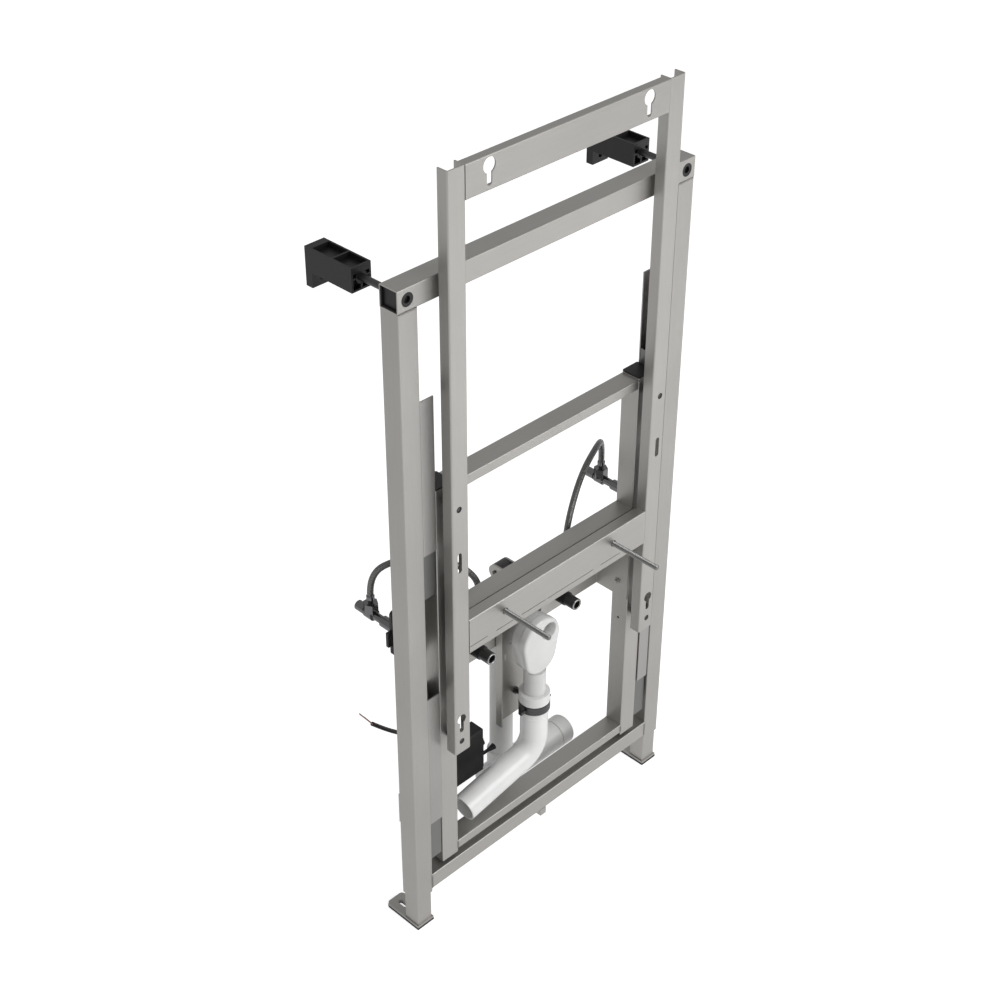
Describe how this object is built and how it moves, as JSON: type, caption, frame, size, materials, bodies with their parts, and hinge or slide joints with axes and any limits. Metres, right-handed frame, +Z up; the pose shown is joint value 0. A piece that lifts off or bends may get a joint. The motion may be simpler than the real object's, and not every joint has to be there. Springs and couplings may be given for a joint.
{
  "type": "washbasin installation frame",
  "caption": "Free-standing steel frame whose motor-driven carriage raises and lowers a wall-hung washbasin, with trap, water connections and wall brackets.",
  "frame": {"origin": "middle of the left foot's sole, on the floor", "axes": "+X along the frame's width to the right as seen from the room, +Y towards the wall, +Z up"},
  "size_m": [0.7085, 0.346, 1.538],
  "materials": {
    "frame_steel": "satin zinc-plated steel, pale warm grey",
    "carriage_steel": "satin zinc-plated steel, pale warm grey",
    "slide_steel": "satin folded steel",
    "runner_steel": "darker drawn steel",
    "plated_steel": "bright zinc plating",
    "dark_steel": "dark chromated steel",
    "black_plastic": "matt black moulded plastic",
    "black_rubber": "matt black rubber",
    "chrome": "polished chrome",
    "braid": "braided steel wire",
    "white_plastic": "glossy white plastic",
    "grey_plastic": "near-white moulded plastic",
    "box_black": "fine-grained black housing plastic",
    "actuator_grey": "pale grey paint",
    "cable_sheath": "black cable sheath",
    "core_insulation": "pale brown core insulation"
  },
  "bodies": {
    "frame": {"post_left": "frame_steel", "post_right": "frame_steel", "top_tube": "frame_steel", "tube_end_inserts": "black_plastic", "rod_bushes": "black_plastic", "bottom_crossbar": "frame_steel", "actuator_shelf": "frame_steel", "foot_left": "frame_steel", "foot_right": "frame_steel", "foot_pads": "black_rubber", "wall_bracket_left": "black_plastic", "wall_bracket_right": "black_plastic", "wall_rods": "dark_steel", "slide_guides_left": "slide_steel", "slide_guides_right": "slide_steel", "valve_plates": "frame_steel", "valve_flanges": "black_plastic", "valve_left": "chrome", "valve_right": "chrome", "hose_left": "braid", "hose_right": "braid", "actuator_motor": "grey_plastic", "actuator_tube": "actuator_grey", "control_box": "box_black", "control_box_bracket": "frame_steel", "mains_cable": "cable_sheath", "cable_cores": "core_insulation"},
    "carriage": {"inner_post_left": "carriage_steel", "inner_post_right": "carriage_steel", "inner_post_caps": "black_plastic", "inner_top_member": "carriage_steel", "inner_bottom_member": "carriage_steel", "rear_bar": "carriage_steel", "front_rail_left": "carriage_steel", "front_rail_right": "carriage_steel", "rail_bolts": "plated_steel", "top_plate": "carriage_steel", "front_crossbar": "carriage_steel", "basin_studs": "plated_steel", "slide_runners_left": "runner_steel", "slide_runners_right": "runner_steel", "rear_panel": "carriage_steel", "trap_plate": "carriage_steel", "trap_body": "white_plastic", "trap_cover": "white_plastic", "waste_pipe": "white_plastic", "pipe_clamp": "dark_steel", "water_elbows": "black_plastic", "water_sleeves": "black_plastic", "actuator_rod": "plated_steel"}
  },
  "joints": [
    {"name": "lift", "type": "slide", "parent": "frame", "child": "carriage", "axis": [0, 0, 1], "range_m": [0, 0.3], "deforming": ["hose_left", "hose_right"]}
  ]
}
